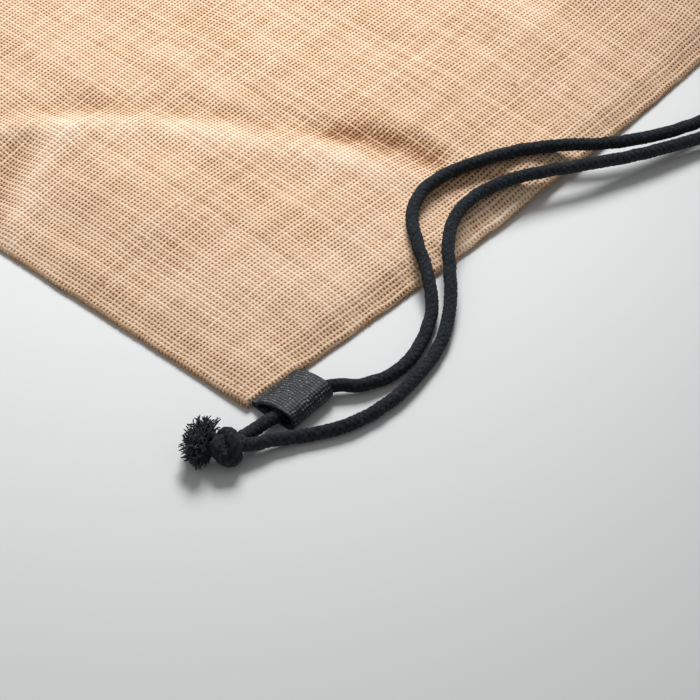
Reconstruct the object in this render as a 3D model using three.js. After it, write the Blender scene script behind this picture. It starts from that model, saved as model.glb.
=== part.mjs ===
// A flat jute drawstring bag with two drawcords, lying on its back with its mouth towards +Y.
// Millimetres, +Z up. The origin is on the table, under the middle of the bag.
import * as THREE from "three";

// Bag
const bagWidth = 340; // across the bottom seam
const bagHeight = 420; // bottom seam to mouth
const sideBow = 12.5; // how far each side edge bows out above its corner
const bowSpan = 1.15; // the bow's half wave, in bag heights
const clothThickness = 1.3;
const seamPly = 2.6; // folded allowance inside a seam
const seamWidth = 10;
const loft = 8; // how far the front panel rises above its sewn edges
const loftRamp = 70; // how far above the bottom seam the loft is full
const ventLength = 60; // how far below the mouth the side seams stop
const threadThickness = 0.8;

// Casings: the folded hems at the mouth, which hold the cords
const casingDepth = 28;
const stitchMargin = 6; // cloth between the stitch line and the channel
const mouthGap = 6.5; // between the front and the back casing
const riseStart = 120; // how far below the mouth the front panel starts to rise to its casing

// Cords
const cordDiameter = 6;
const cordPlay = 0.5; // round a cord inside a casing or a tab
const runSpacing = 7.2; // between the two cords in one casing
const bightLead = 4; // straight cord on each side of a bight
const strandLead = 5; // straight cord where a free strand leaves its casing
const cordSides = 10;
const cordStep = 15;

// Knots, and the frayed ends behind them
const knotHalf = { along: 7.5, across: 9.2, up: 7.3 };
const knotPlace = [12.9, -25.2]; // outwards and up from the bag's lower corner
const frayLength = 13;
const frayRadius = 10;
const frayAngle = 205; // degrees, the way the right-hand cord's ends point

// Tabs: loops of webbing sewn into the lower corners
const tabWidth = 25;
const tabReach = 21.5; // how far the loop stands out of the side seam
const tabTail = 9; // webbing held inside the seam
const webbingThickness = 1.4;
const tabInset = 2.5; // from the bottom seam to the webbing
const tailClearance = 4; // from a tab's tail to the bottom allowance

const gap = 0.3; // between pieces that touch

const jute = new THREE.MeshStandardMaterial({ color: 0xc9a070, roughness: 0.95, metalness: 0 });
const juteFold = new THREE.MeshStandardMaterial({ color: 0xb48455, roughness: 0.95, metalness: 0 });
const thread = new THREE.MeshStandardMaterial({ color: 0xd8bd92, roughness: 0.8, metalness: 0 });
const webbing = new THREE.MeshStandardMaterial({ color: 0x26282b, roughness: 0.85, metalness: 0 });
const cotton = new THREE.MeshStandardMaterial({ color: 0x1b1d20, roughness: 0.9, metalness: 0 });

// Where things meet
const bottomY = -bagHeight / 2;
const mouthY = bagHeight / 2;
const casingY = mouthY - casingDepth;
const seamTopY = mouthY - ventLength;
const casingHeight = cordDiameter + 2 * cordPlay + 2 * clothThickness;
const frontCasingZ = casingHeight + mouthGap;
const panelTopY = casingY - gap;
const sewnUnderside = clothThickness + seamPly + 2 * gap; // of the front panel, over a seam
const mouthUnderside = frontCasingZ + clothThickness; // of the front panel, beside its casing
const casingHalf = sideEdge(mouthY - casingDepth / 2);
const channelDepth = casingDepth - stitchMargin - clothThickness;
const channelY = casingY + stitchMargin + channelDepth / 2;
const backRunZ = casingHeight / 2;
const frontRunZ = frontCasingZ + casingHeight / 2;
const rightRunY = channelY - runSpacing / 2;
const leftRunY = channelY + runSpacing / 2;

// The free strands, from a casing's open end to the knot. Each point is [outwards from the bag's
// lower corner, up from it, height of the cord's underside over the table]. The casing sets where
// a strand starts.
const rightThroughTab = [
  [18.5, 404.6, 17.2], [28, 403, 13.8], [37, 398.5, 8.5], [46, 388.5, 3], [51, 374, 0.5],
  [52.5, 356, 0.3], [51.5, 336, 0.3], [49, 314, 0.4], [45, 292, 1.2], [40, 271, 3.4], [35.3, 254, 5.8],
  [29, 238.5, 7.8], [18.5, 222.5, 9.2], [5.5, 208.8, 9.8], [-6, 193.5, 10.6], [-15, 175, 11.2],
  [-21, 158, 11.4], [-22, 141.5, 11.4], [-16.5, 127.5, 10.8], [-3, 115, 9.2], [11, 105, 6.6],
  [23, 93.5, 2.8], [30, 80.2, 0.6], [34.6, 64.5, 0.3], [33.8, 50, 0.5], [27.8, 37.5, 1.1],
  [22.6, 32.8, 1.6], [18.2, 26.6, 1.8], [16.2, 15, 1.8], [14.8, 3, 1.9], [13.7, -6, 2.5], [13.3, -15.2, 3.6],
];
const rightBesideTab = [
  [18.5, 404.7, 1.3], [29, 404.4, 0.6], [42, 401.5, 0.3], [53, 393.5, 0.3], [60, 380.5, 0.3],
  [62.5, 363, 0.3], [62, 342, 0.3], [59.5, 320, 0.3], [56, 298, 0.6], [51.2, 278, 1.8], [46, 260.5, 3.2],
  [38.8, 242, 4.8], [29.9, 223, 6.6], [20, 205, 8.4], [9.6, 188, 9.6], [0.8, 170.5, 10.2],
  [-2.8, 153, 10.2], [-0.5, 137, 9.8], [6.5, 124.8, 8.4], [17, 113, 6], [29.3, 98, 2.2],
  [38.5, 80, 0.5], [42.8, 61.8, 0.3], [44, 41, 0.3], [40, 20.5, 0.3], [29.8, 2.8, 0.4],
  [22.5, -8.2, 1.6], [19.2, -15.4, 2.9],
];
const leftThroughTab = [
  [18.5, 411.8, 17], [29, 410.8, 13.2], [40, 406.5, 7], [49, 397, 2.2], [54, 383, 0.4], [54.5, 364, 0.3],
  [51, 342, 0.3], [45, 320, 0.3], [38, 297, 0.3], [32.5, 274, 0.3], [29.5, 250, 0.3], [29.5, 225, 0.3],
  [33, 200, 0.3], [39, 176, 0.3], [44.5, 152, 0.3], [47, 128, 0.3], [45.5, 104, 0.3], [40.5, 81, 0.3],
  [34, 61, 0.3], [27.5, 44.5, 0.8], [22.3, 33.4, 1.5], [18.2, 26.6, 1.8], [16.2, 15, 1.8], [14.8, 3, 1.9],
  [13.7, -6, 2.5], [13.3, -15.2, 3.6],
];
const leftBesideTab = [
  [18.5, 411.9, 1.3], [32, 411.5, 0.4], [45.5, 408, 0.3], [57, 399.5, 0.3], [64, 386, 0.3],
  [65.5, 366, 0.3], [62.5, 343, 0.3], [56, 320, 0.3], [48.5, 297, 0.3], [42, 274, 0.3], [39, 250, 0.3],
  [39.5, 225, 0.3], [44, 200, 0.3], [50.5, 176, 0.3], [56, 152, 0.3], [58.5, 128, 0.3], [57.5, 104, 0.3],
  [53.5, 80, 0.3], [48, 57, 0.3], [42.5, 36, 0.3], [36, 17, 0.3], [28.8, 1.5, 0.4], [22.5, -8.2, 1.6],
  [19.2, -15.4, 2.9],
];

// Half the bag's width at a height y.
function sideEdge(y) {
  const up = (y + bagHeight / 2) / (bowSpan * bagHeight);
  return bagWidth / 2 + sideBow * Math.sin(Math.PI * up);
}

function smooth(value) {
  const t = THREE.MathUtils.clamp(value, 0, 1);
  return t * t * (3 - 2 * t);
}

// Height of the front panel's underside, with across = -1 to 1 from edge to edge.
function frontUnderside(across, y) {
  const crown = (1 - across ** 4) * smooth((y - bottomY) / loftRamp);
  const lying = sewnUnderside + loft * crown;
  const rise = smooth((y - mouthY + riseStart) / (riseStart - casingDepth));
  return THREE.MathUtils.lerp(lying, mouthUnderside, rise);
}

// A closed sheet: a box whose grid is mapped to place(across, up, top), with across and up from -1 to 1.
function sheet(acrossCells, upCells, place) {
  const geometry = new THREE.BoxGeometry(2, 2, 2, acrossCells, upCells, 1);
  const position = geometry.getAttribute("position");
  const point = new THREE.Vector3();
  for (let i = 0; i < position.count; i += 1) {
    point.fromBufferAttribute(position, i);
    const [x, y, z] = place(point.x, point.y, point.z > 0);
    position.setXYZ(i, x, y, z);
  }
  return geometry;
}

// A round cord along a smooth curve through the points.
function cord(points, diameter = cordDiameter, sides = cordSides, step = cordStep) {
  const path = new THREE.CatmullRomCurve3(points, false, "centripetal");
  const section = new THREE.Shape();
  for (let i = 0; i < sides; i += 1) {
    const angle = (2 * Math.PI * i) / sides;
    const corner = [(diameter / 2) * Math.cos(angle), (diameter / 2) * Math.sin(angle)];
    if (i === 0) section.moveTo(...corner);
    else section.lineTo(...corner);
  }
  const steps = Math.max(2, Math.ceil(path.getLength() / step));
  return new THREE.ExtrudeGeometry(section, { steps, extrudePath: path, bevelEnabled: false });
}

const bag = new THREE.Group();

function add(name, geometry, material) {
  const mesh = new THREE.Mesh(geometry, material.clone());
  mesh.name = name;
  bag.add(mesh);
  return mesh;
}

function along(up, low, high) {
  return THREE.MathUtils.lerp(low, high, (up + 1) / 2);
}

function panels() {
  const back = sheet(4, 16, (across, up, top) => {
    const y = along(up, bottomY, panelTopY);
    return [across * sideEdge(y), y, top ? clothThickness : 0];
  });
  const front = sheet(18, 24, (across, up, top) => {
    const y = along(up, bottomY, panelTopY);
    return [across * sideEdge(y), y, frontUnderside(across, y) + (top ? clothThickness : 0)];
  });
  add("back_panel", back, jute);
  add("front_panel", front, jute);
}

// A flat round-ended outline, as its low and high corners and the radius of its ends.
function roundedOutline(target, low, high, radius) {
  target.moveTo(low[0] + radius, low[1]);
  target.lineTo(high[0] - radius, low[1]);
  target.absarc(high[0] - radius, low[1] + radius, radius, -Math.PI / 2, 0, false);
  target.lineTo(high[0], high[1] - radius);
  target.absarc(high[0] - radius, high[1] - radius, radius, 0, Math.PI / 2, false);
  target.lineTo(low[0] + radius, high[1]);
  target.absarc(low[0] + radius, high[1] - radius, radius, Math.PI / 2, Math.PI, false);
  target.lineTo(low[0], low[1] + radius);
  target.absarc(low[0] + radius, low[1] + radius, radius, Math.PI, 1.5 * Math.PI, false);
  return target;
}

// A hem folded into a tube along X. Its section is drawn in Y and Z, then stood along X.
function casing(name, z) {
  const section = roundedOutline(
    new THREE.Shape(), [casingY, z], [mouthY, z + casingHeight], casingHeight / 2 - gap,
  );
  section.holes.push(
    roundedOutline(
      new THREE.Path(),
      [casingY + stitchMargin, z + clothThickness],
      [mouthY - clothThickness, z + casingHeight - clothThickness],
      casingHeight / 2 - clothThickness - gap,
    ),
  );
  const tube = new THREE.ExtrudeGeometry(section, {
    depth: 2 * casingHalf, steps: 8, bevelEnabled: false, curveSegments: 4,
  });
  tube.rotateX(Math.PI / 2).rotateZ(Math.PI / 2).translate(-casingHalf, 0, 0);
  add(name, tube, jute);
}

// The row of hem stitches, on the face of the casing's flat margin.
function casingThread(name, z) {
  const stitches = new THREE.BoxGeometry(2 * casingHalf - seamWidth, threadThickness, threadThickness);
  stitches.translate(0, casingY + stitchMargin, z + threadThickness / 2);
  add(name, stitches, thread);
}

function seams() {
  const low = clothThickness + gap;
  const middle = low + seamPly / 2;
  const aboveTab = bottomY + tabInset + tabWidth + gap;
  const inset = threadThickness + 2 * gap; // from an edge of the bag to the allowance
  for (const [side, sign] of [["right", 1], ["left", -1]]) {
    const allowance = sheet(1, 20, (across, up, top) => {
      const y = along(up, aboveTab, seamTopY);
      const middleX = sign * (sideEdge(y) - inset - seamWidth / 2);
      return [middleX + (across * seamWidth) / 2, y, low + (top ? seamPly : 0)];
    });
    add(`${side}_side_seam_allowance`, allowance, juteFold);
    const line = [];
    for (let y = aboveTab; y < seamTopY; y += cordStep) {
      line.push(new THREE.Vector3(sign * (sideEdge(y) - gap - threadThickness / 2), y, middle));
    }
    add(`${side}_side_seam_thread`, cord(line, threadThickness, 6, 2 * cordStep), thread);
  }
  const half = bagWidth / 2 - tabTail - tailClearance - 2 * gap;
  const bottom = new THREE.BoxGeometry(2 * half, seamWidth, seamPly);
  bottom.translate(0, bottomY + inset + seamWidth / 2, middle);
  add("bottom_seam_allowance", bottom, juteFold);
  const bottomThread = new THREE.BoxGeometry(2 * half, threadThickness, threadThickness);
  bottomThread.translate(0, bottomY + gap + threadThickness / 2, middle);
  add("bottom_seam_thread", bottomThread, thread);
}

// Loops of webbing, drawn in X (out of the seam) and Z, with both ends of the webbing in the seam.
function tabs() {
  const top = cordDiameter + 2 * cordPlay + 2 * webbingThickness;
  const middle = clothThickness + gap + seamPly / 2;
  const tail = seamPly / 2;
  const round = top / 2;
  const endX = tabReach - round;
  const flatX = endX - round;
  const loop = new THREE.Shape();
  loop.moveTo(-tabTail, middle - tail);
  loop.lineTo(0, middle - tail);
  loop.quadraticCurveTo(round, 0, flatX, 0);
  loop.lineTo(endX, 0);
  loop.absarc(endX, round, round, -Math.PI / 2, Math.PI / 2, false);
  loop.lineTo(flatX, top);
  loop.quadraticCurveTo(round, top, 0, middle + tail);
  loop.lineTo(-tabTail, middle + tail);
  const inside = new THREE.Path();
  const crotch = 2 * webbingThickness; // where the two layers part, outside the seam
  inside.moveTo(crotch, middle - gap);
  inside.quadraticCurveTo(round + webbingThickness, webbingThickness, flatX, webbingThickness);
  inside.lineTo(endX, webbingThickness);
  inside.absarc(endX, round, round - webbingThickness, -Math.PI / 2, Math.PI / 2, false);
  inside.lineTo(flatX, top - webbingThickness);
  inside.quadraticCurveTo(round, top - webbingThickness, crotch, middle + gap);
  loop.holes.push(inside);
  const seamX = sideEdge(bottomY + tabInset + tabWidth) + gap;
  for (const [side, sign] of [["right", 1], ["left", -1]]) {
    const solid = new THREE.ExtrudeGeometry(loop, {
      depth: tabWidth, steps: 1, bevelEnabled: false, curveSegments: 6,
    });
    solid.rotateX(Math.PI / 2).translate(0, tabWidth / 2, 0);
    if (sign < 0) solid.rotateZ(Math.PI);
    solid.translate(sign * seamX, bottomY + tabInset + tabWidth / 2, 0);
    add(`${side}_tab`, solid, webbing);
  }
}

// A free strand: it leaves the casing at z, and follows its points to the knot.
function strand(name, sign, runY, z, route) {
  const exit = new THREE.Vector3(sign * (casingHalf + gap), runY, z);
  const lead = exit.clone().setX(exit.x + sign * strandLead);
  const points = route.map(([out, up, under]) => new THREE.Vector3(
    sign * (bagWidth / 2 + out), bottomY + up, under + cordDiameter / 2,
  ));
  add(name, cord([exit, lead, ...points]), cotton);
}

// The cord of one side: two runs through the casings, a bight at the far side, two free strands.
function drawcord(side, sign, runY, throughTab, besideTab) {
  const ends = [-casingHalf, casingHalf];
  for (const [level, z] of [["front", frontRunZ], ["back", backRunZ]]) {
    const run = ends.map((x) => new THREE.Vector3(x, runY, z));
    add(`${side}_cord_${level}_run`, cord(run, cordDiameter, cordSides, 2 * casingHalf), cotton);
  }
  const radius = (frontRunZ - backRunZ) / 2;
  const startX = -sign * (casingHalf + gap);
  const turnX = startX - sign * bightLead;
  const turns = 8;
  const bight = [new THREE.Vector3(startX, runY, frontRunZ)];
  for (let i = 0; i <= turns; i += 1) {
    const angle = Math.PI / 2 - (Math.PI * i) / turns;
    const out = radius * Math.cos(angle);
    bight.push(new THREE.Vector3(turnX - sign * out, runY, backRunZ + radius * (1 + Math.sin(angle))));
  }
  bight.push(new THREE.Vector3(startX, runY, backRunZ));
  add(`${side}_cord_bight`, cord(bight, cordDiameter, cordSides, cordDiameter / 2), cotton);
  strand(`${side}_strand_through_tab`, sign, runY, frontRunZ, throughTab);
  strand(`${side}_strand_beside_tab`, sign, runY, backRunZ, besideTab);
}

// The knot that ties a cord's two ends, and the frayed ends that stick out of it.
function cordEnd(side, sign) {
  const lift = knotHalf.up + gap;
  const place = new THREE.Vector3(
    sign * (bagWidth / 2 + knotPlace[0]), bottomY + knotPlace[1], lift,
  );
  const turn = THREE.MathUtils.degToRad(sign > 0 ? frayAngle : 180 - frayAngle);
  const knot = new THREE.SphereGeometry(1, 16, 10);
  knot.scale(knotHalf.along, knotHalf.across, knotHalf.up);
  knot.rotateZ(turn).translate(place.x, place.y, place.z);
  add(`${side}_knot`, knot, cotton);
  const profile = [[0, 0], [0.45, 0], [0.75, 0.35], [1, 0.8], [0.8, 1], [0, 1]].map(
    ([r, l]) => new THREE.Vector2(r * frayRadius, l * frayLength),
  );
  const fray = new THREE.LatheGeometry(profile, 14);
  fray.rotateZ(-Math.PI / 2).scale(1, 1, (lift - gap) / frayRadius);
  fray.translate(knotHalf.along + gap, 0, 0).rotateZ(turn).translate(place.x, place.y, place.z);
  add(`${side}_frayed_ends`, fray, cotton);
}

panels();
casing("back_casing", 0);
casing("front_casing", frontCasingZ);
casingThread("back_casing_thread", casingHeight + gap);
casingThread("front_casing_thread", frontCasingZ + casingHeight + gap);
seams();
tabs();
drawcord("right", 1, rightRunY, rightThroughTab, rightBesideTab);
drawcord("left", -1, leftRunY, leftThroughTab, leftBesideTab);
cordEnd("right", 1);
cordEnd("left", -1);

export default bag;
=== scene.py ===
import math
import bpy
import bmesh
import numpy as np
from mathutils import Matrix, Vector


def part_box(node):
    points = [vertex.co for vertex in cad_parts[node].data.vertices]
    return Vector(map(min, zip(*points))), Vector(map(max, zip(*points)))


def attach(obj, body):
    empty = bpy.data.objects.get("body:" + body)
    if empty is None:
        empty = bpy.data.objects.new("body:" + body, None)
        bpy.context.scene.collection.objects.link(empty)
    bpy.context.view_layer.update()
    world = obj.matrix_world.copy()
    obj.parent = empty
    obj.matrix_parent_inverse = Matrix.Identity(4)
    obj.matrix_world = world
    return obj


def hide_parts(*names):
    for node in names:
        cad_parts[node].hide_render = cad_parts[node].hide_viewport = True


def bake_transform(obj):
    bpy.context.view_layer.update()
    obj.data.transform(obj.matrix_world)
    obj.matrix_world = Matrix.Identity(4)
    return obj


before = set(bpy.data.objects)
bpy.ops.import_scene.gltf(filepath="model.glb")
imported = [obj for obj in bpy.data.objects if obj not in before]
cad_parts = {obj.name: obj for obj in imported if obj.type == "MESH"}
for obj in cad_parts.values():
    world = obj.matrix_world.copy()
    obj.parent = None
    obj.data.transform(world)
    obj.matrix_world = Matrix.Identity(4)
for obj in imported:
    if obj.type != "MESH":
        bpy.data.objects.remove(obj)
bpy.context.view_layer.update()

mm = 0.001


# an sRGB hex colour as linear RGBA
def hexColour(text):
    parts = [int(text[i:i + 2], 16) / 255 for i in (0, 2, 4)]
    linear = [p / 12.92 if p <= 0.04045 else ((p + 0.055) / 1.055) ** 2.4 for p in parts]
    return (*linear, 1.0)


# adds one node; settings are its properties, and inputs are values, sockets or nodes, by name or number
def addNode(tree, kind, inputs=None, **settings):
    made = tree.nodes.new(kind)
    for key, value in settings.items():
        setattr(made, key, value)
    for key, value in (inputs or {}).items():
        if isinstance(value, bpy.types.Node):
            value = value.outputs[0]
        if isinstance(value, bpy.types.NodeSocket):
            tree.links.new(value, made.inputs[key])
        else:
            made.inputs[key].default_value = value
    return made


# one maths node; its values are numbers, sockets or nodes, in the node's own order
def calc(tree, operation, *values, clamped=False):
    return addNode(tree, "ShaderNodeMath", dict(enumerate(values)), operation=operation, use_clamp=clamped)


def newObject(name, data):
    made = bpy.data.objects.new(name, data)
    bpy.context.scene.collection.objects.link(made)
    return made


# Camera, light and floor
studio = {
    "cameraPlace": (0.64974, -0.70189, 0.73125),
    "lookAt": (0.1795, -0.1552, 0.0),
    "lens": 123.43,
    "sensor": 36.0,
    "keyPlace": (-0.30, 0.42, 0.74),
    "keyAim": (0.04, -0.12, 0.0),
    "keySize": 0.42,
    "keySpread": 64,  # degrees
    "keyPower": 1.95,
    "keyColour": "fafcff",
    "fillPlace": (-0.5, -1.0, 1.3),
    "fillAim": (0.0, 0.0, 0.0),
    "fillSize": 1.4,
    "fillSpread": 180,
    "fillPower": 1.4,
    "fillColour": "fbfdff",
    "skyColour": "eef0f1",
    "skyStrength": 0.25,
    "floorColour": "e4e4e2",
    "floorHalf": 6.0,
}


def buildStudio():
    camera = newObject("camera", bpy.data.cameras.new("camera"))
    camera.data.lens = studio["lens"]
    camera.data.sensor_width = studio["sensor"]
    camera.location = studio["cameraPlace"]
    toward = Vector(studio["lookAt"]) - camera.location
    camera.rotation_euler = toward.to_track_quat("-Z", "Y").to_euler()
    bpy.context.scene.camera = camera
    for name in ("key", "fill"):
        light = bpy.data.lights.new(name, "AREA")
        light.energy = studio[name + "Power"]
        light.size = studio[name + "Size"]
        light.spread = math.radians(studio[name + "Spread"])
        light.color = hexColour(studio[name + "Colour"])[:3]
        lamp = newObject(name, light)
        lamp.location = studio[name + "Place"]
        aim = Vector(studio[name + "Aim"]) - lamp.location
        lamp.rotation_euler = aim.to_track_quat("-Z", "Y").to_euler()
    world = bpy.data.worlds.new("studio")
    bpy.context.scene.world = world
    world.use_nodes = True
    sky = world.node_tree.nodes["Background"]
    sky.inputs["Color"].default_value = hexColour(studio["skyColour"])
    sky.inputs["Strength"].default_value = studio["skyStrength"]
    bpy.context.scene.view_settings.view_transform = "Standard"  # plain colours, as a product shot has
    half = studio["floorHalf"]
    mesh = bpy.data.meshes.new("floor")
    corners = [(-half, -half, 0), (half, -half, 0), (half, half, 0), (-half, half, 0)]
    mesh.from_pydata(corners, [], [(0, 1, 2, 3)])
    floor = newObject("floor", mesh)
    paper = bpy.data.materials.new("matt_paper_sweep")  # a seamless paper backdrop, flat and soft
    paper.use_nodes = True
    shader = paper.node_tree.nodes["Principled BSDF"]
    shader.inputs["Base Color"].default_value = hexColour(studio["floorColour"])
    shader.inputs["Roughness"].default_value = 0.85
    shader.inputs["Specular IOR Level"].default_value = 0.2
    mesh.materials.append(paper)
    print("studio: camera, two soft lights and the floor")


buildStudio()


# the bag's own sizes, the same as in its CAD source, and the real thickness of pressed hessian
bag = {
    "width": 340 * mm,
    "height": 420 * mm,
    "sideBow": 12.5 * mm,
    "bowSpan": 1.15,
    "ply": 0.9 * mm,
    "sewnUnderside": 4.5 * mm,
    "pressedEdge": 2.75 * mm,  # middle of the front cloth along a sewn edge
    "pressedWidth": 13 * mm,
    "tabRaise": 1.5 * mm,  # the cloth over a tab's two tails
    "mouthUnderside": 17.4 * mm,
    "loft": 8 * mm,
    "loftRamp": 70 * mm,
    "riseStart": 120 * mm,
    "casingDepth": 28 * mm,
    "seamTop": 150 * mm,
    "weavePitch": 1.94 * mm,
}
tabMiddleY = sum(corner.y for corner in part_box("right_tab")) / 2
bottomY = -bag["height"] / 2
mouthY = bag["height"] / 2
casingY = mouthY - bag["casingDepth"]
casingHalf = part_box("front_casing")[1].x
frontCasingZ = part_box("front_casing")[0].z


def sideEdge(y):
    up = (y - bottomY) / (bag["bowSpan"] * bag["height"])
    return bag["width"] / 2 + bag["sideBow"] * np.sin(np.pi * up)


def smooth(value):
    t = np.clip(value, 0, 1)
    return t * t * (3 - 2 * t)


cords = {
    "diameter": 6 * mm,
    "lead": 5 * mm,
    "runY": {"right": 194.75 * mm, "left": 201.95 * mm},
    "runZ": {"front": 20.9 * mm, "back": 4.8 * mm},
    "gap": 0.3 * mm,
    "carriers": 5,  # yarns that turn each way round the braid
    "plaitPitch": 13.5 * mm,  # length of one whole turn of a yarn
    "ribHeight": 0.55 * mm,
    "slack": 0.2,  # how far the yarns wander, as a share of their spacing
    "slackWaves": (1.7 * mm, 0.9 * mm),
    "uneven": 0.12 * mm,  # soft lumps along the braid
    "unevenWaves": (3.1 * mm, 7 * mm),
    "shaved": 0.06 * mm,  # keeps the lumps inside the cord's own diameter
    "ringStep": 0.55 * mm,
    "sides": 36,
    "runStep": 1.1 * mm,  # the runs are hidden, so they have fewer faces
    "runSides": 24,
    "bightLead": 4 * mm,
    "bightSteps": 60,
    "bightReach": 22 * mm,  # how far out of the casings a bight gives when its cord is pulled
    "giveAbove": 60 * mm,  # a free strand gives between this height over the bag's bottom edge
    "giveBelow": 15 * mm,  # and this depth under it
}

# [out from the bag's lower corner, up from it, height of the cord's underside], in millimetres
routes = {
    "right_strand_through_tab": [
        [18.5, 404.6, 17.2], [28, 403, 13.8], [37, 398.5, 8.5], [46, 388.5, 3], [51, 374, 0.5],
        [52.5, 356, 0.3], [51.5, 336, 0.3], [49, 314, 0.4], [45, 292, 1.2], [40, 271, 3.4],
        [35.3, 254, 5.8], [29, 238.5, 7.8], [18.5, 222.5, 9.2], [5.5, 208.8, 9.8], [-6, 193.5, 10.6],
        [-15, 175, 11.2], [-21, 158, 11.4], [-22, 141.5, 11.4], [-16.5, 127.5, 10.8], [-3, 115, 9.2],
        [11, 105, 6.6], [23, 93.5, 2.8], [30, 80.2, 0.6], [34.6, 64.5, 0.3], [33.8, 50, 0.5],
        [27.8, 37.5, 1.1], [22.6, 32.8, 1.6], [18.2, 26.6, 1.8], [16.2, 15, 1.8], [14.8, 3, 1.9],
        [13.7, -6, 2.5], [13.3, -15.2, 3.6],
    ],
    "right_strand_beside_tab": [
        [18.5, 404.7, 1.3], [29, 404.4, 0.6], [42, 401.5, 0.3], [53, 393.5, 0.3], [60, 380.5, 0.3],
        [62.5, 363, 0.3], [62, 342, 0.3], [59.5, 320, 0.3], [56, 298, 0.6], [51.2, 278, 1.8],
        [46, 260.5, 3.2], [38.8, 242, 4.8], [29.9, 223, 6.6], [20, 205, 8.4], [9.6, 188, 9.6],
        [0.8, 170.5, 10.2], [-2.8, 153, 10.2], [-0.5, 137, 9.8], [6.5, 124.8, 8.4], [17, 113, 6],
        [29.3, 98, 2.2], [38.5, 80, 0.5], [42.8, 61.8, 0.3], [44, 41, 0.3], [40, 20.5, 0.3],
        [29.8, 2.8, 0.4], [22.5, -8.2, 1.6], [19.2, -15.4, 2.9],
    ],
    "left_strand_through_tab": [
        [18.5, 411.8, 17], [29, 410.8, 13.2], [40, 406.5, 7], [49, 397, 2.2], [54, 383, 0.4],
        [54.5, 364, 0.3], [51, 342, 0.3], [45, 320, 0.3], [38, 297, 0.3], [32.5, 274, 0.3],
        [29.5, 250, 0.3], [29.5, 225, 0.3], [33, 200, 0.3], [39, 176, 0.3], [44.5, 152, 0.3],
        [47, 128, 0.3], [45.5, 104, 0.3], [40.5, 81, 0.3], [34, 61, 0.3], [27.5, 44.5, 0.8],
        [22.3, 33.4, 1.5], [18.2, 26.6, 1.8], [16.2, 15, 1.8], [14.8, 3, 1.9], [13.7, -6, 2.5],
        [13.3, -15.2, 3.6],
    ],
    "left_strand_beside_tab": [
        [18.5, 411.9, 1.3], [32, 411.5, 0.4], [45.5, 408, 0.3], [57, 399.5, 0.3], [64, 386, 0.3],
        [65.5, 366, 0.3], [62.5, 343, 0.3], [56, 320, 0.3], [48.5, 297, 0.3], [42, 274, 0.3],
        [39, 250, 0.3], [39.5, 225, 0.3], [44, 200, 0.3], [50.5, 176, 0.3], [56, 152, 0.3],
        [58.5, 128, 0.3], [57.5, 104, 0.3], [53.5, 80, 0.3], [48, 57, 0.3], [42.5, 36, 0.3],
        [36, 17, 0.3], [28.8, 1.5, 0.4], [22.5, -8.2, 1.6], [19.2, -15.4, 2.9],
    ],
}


# how far along a line each of its points is
def lengthsAlong(line):
    return np.concatenate([[0], np.cumsum(np.linalg.norm(np.diff(line, axis=0), axis=1))])


# a smooth curve through the points, evenly spaced
def smoothLine(points, step):
    p = np.array(points, float)
    p = np.vstack([2 * p[0] - p[1], p, 2 * p[-1] - p[-2]])
    share = np.linspace(0, 1, 24, endpoint=False)[:, None]
    dense = []
    for a, b, c, d in zip(p[:-3], p[1:-2], p[2:-1], p[3:]):
        t0, t1, t2 = (np.linalg.norm(q - r) ** 0.5 for q, r in ((b, a), (c, b), (d, c)))
        m1 = ((b - a) / t0 - (c - a) / (t0 + t1) + (c - b) / t1) * t1
        m2 = ((c - b) / t1 - (d - b) / (t1 + t2) + (d - c) / t2) * t1
        dense.append(b + m1 * share + (3 * (c - b) - 2 * m1 - m2) * share ** 2
                     + (2 * (b - c) + m1 + m2) * share ** 3)
    line = np.vstack([*dense, p[-2]])
    along = lengthsAlong(line)
    at = np.linspace(0, along[-1], max(3, round(along[-1] / step) + 1))
    return np.stack([np.interp(at, along, line[:, k]) for k in range(3)], axis=1)


# height, 0 to 1, of two sets of crossing yarns, one yarn a unit, in a plain weave
def weaveHeight(first, second, halfWidth=0.47, crimp=0.35):
    best = np.zeros(np.broadcast(first, second).shape)
    for across, lengthwise, sign in ((first, second, 1), (second, first, -1)):
        off = (across - np.floor(across) - 0.5) / halfWidth
        roundness = np.sqrt(np.clip(1 - off ** 2, 0, None))
        parity = np.where(np.floor(across) % 2 == 0, 1, -1)
        over = sign * parity * np.sin(np.pi * lengthwise)
        best = np.maximum(best, roundness * (1 - crimp + crimp * over) * (over > -0.75))
    return best


def meshPiece(name, points, faces, uvName=None, uv=None, sharp=math.radians(50)):
    mesh = bpy.data.meshes.new(name)
    mesh.from_pydata([tuple(p) for p in points], [], faces)
    if uvName:
        layer = mesh.uv_layers.new(name=uvName)
        corner = np.zeros(len(mesh.loops), np.int32)
        mesh.loops.foreach_get("vertex_index", corner)
        layer.data.foreach_set("uv", np.asarray(uv, np.float32)[corner].ravel())
    mesh.polygons.foreach_set("use_smooth", [True] * len(mesh.polygons))
    if sharp:
        mesh.set_sharp_from_angle(angle=sharp)
    mesh.update()
    return newObject(name, mesh)


# frames that don't twist along a line: two unit vectors across it at each point
def framesAlong(line):
    tangent = np.gradient(line, axis=0)
    tangent /= np.linalg.norm(tangent, axis=1)[:, None]
    side = np.cross(tangent[0], (0.0, 0.0, 1.0))
    if np.linalg.norm(side) < 0.1:
        side = np.cross(tangent[0], (1.0, 0.0, 0.0))
    sides = []
    for t in tangent:
        side = side - t * (side @ t)
        side = side / np.linalg.norm(side)
        sides.append(side)
    sides = np.array(sides)
    return sides, np.cross(tangent, sides)


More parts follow.
